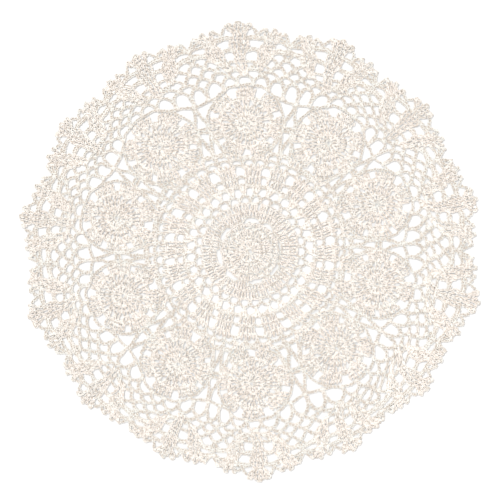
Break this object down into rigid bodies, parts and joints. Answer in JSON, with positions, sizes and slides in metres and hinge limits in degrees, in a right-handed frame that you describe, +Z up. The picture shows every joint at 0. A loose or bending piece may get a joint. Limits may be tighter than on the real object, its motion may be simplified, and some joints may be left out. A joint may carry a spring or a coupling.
{
  "type": "crocheted lace doily",
  "caption": "Round openwork cotton doily with a rosette ring, a chain-loop net and a fan edging with picots, lying flat.",
  "frame": {"origin": "middle of the underside, where the doily rests", "axes": "+Z up through the lace, +Y towards the top of the picture"},
  "size_m": [0.3998, 0.4, 0.0021],
  "materials": {
    "cotton_thread": "undyed ecru crochet cotton, matt"
  },
  "bodies": {
    "root": {"doily": "cotton_thread"}
  },
  "joints": []
}
